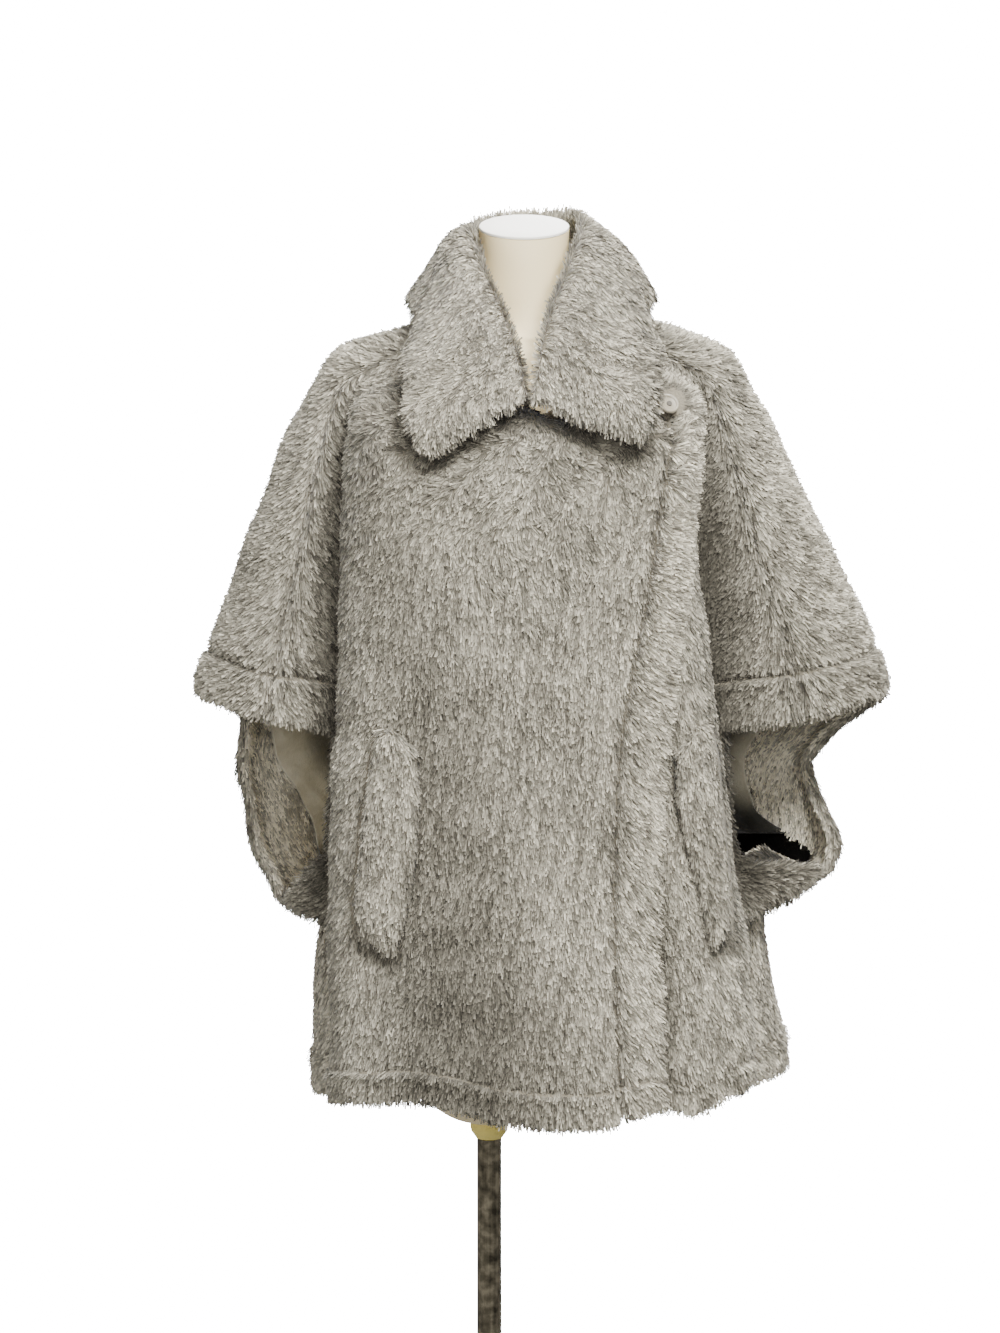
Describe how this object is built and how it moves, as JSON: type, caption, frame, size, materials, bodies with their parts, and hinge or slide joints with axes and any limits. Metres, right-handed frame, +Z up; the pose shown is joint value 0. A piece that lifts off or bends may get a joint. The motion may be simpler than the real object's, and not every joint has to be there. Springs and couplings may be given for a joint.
{
  "type": "wool cape coat on a limbless dress form",
  "caption": "Boxy wool pile cape coat with batwing half sleeves, wide turned-down collar, lapped front and puffed side pockets, worn on a limbless dress form that stands on a pole.",
  "frame": {"origin": "centre of the base plate's underside, on the pole's axis", "axes": "+Z up along the pole, the coat's front faces -Y, the wearer's right is at -X"},
  "size_m": [0.6638, 0.3665, 1.4417],
  "materials": {
    "pile": "long grey wool pile, combed down",
    "satin": "grey lining satin",
    "horn": "satin",
    "form": "smooth off-white",
    "cap": "smooth off-white",
    "socket": "satin",
    "steel": "dark and mottled",
    "plate": "satin grey"
  },
  "bodies": {
    "root": {"front_right": "pile", "front_left": "pile", "back": "pile", "collar": "pile", "pocket_welt_right": "pile", "pocket_welt_left": "pile", "sleeve_lining_right": "satin", "sleeve_lining_left": "satin", "button": "horn", "form_torso": "form", "neck_cap": "cap", "pole_socket": "socket", "pole": "steel", "base_plate": "plate"}
  },
  "joints": []
}
